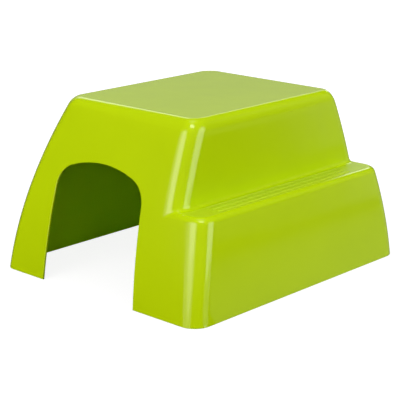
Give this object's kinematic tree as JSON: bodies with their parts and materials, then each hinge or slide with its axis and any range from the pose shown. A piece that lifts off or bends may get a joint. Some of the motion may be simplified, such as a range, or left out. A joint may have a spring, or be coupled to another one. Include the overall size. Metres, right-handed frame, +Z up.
{
  "type": "plastic rodent house",
  "caption": "Moulded plastic hide for guinea pigs and similar rodents: a flat-roofed hood, open underneath, with an arched doorway and a ribbed step along its side.",
  "frame": {"origin": "middle of the base outline, on the floor", "axes": "+Z up, -Y out of the doorway, +X towards the step"},
  "size_m": [0.23, 0.262, 0.15],
  "materials": {
    "lime_plastic": "glossy lime-green moulded polypropylene"
  },
  "bodies": {
    "root": {"roof_panel": "lime_plastic", "front_wall": "lime_plastic", "back_wall": "lime_plastic", "left_wall": "lime_plastic", "riser_wall": "lime_plastic", "step_tread": "lime_plastic", "step_wall": "lime_plastic", "tread_ribs": "lime_plastic"}
  },
  "joints": []
}
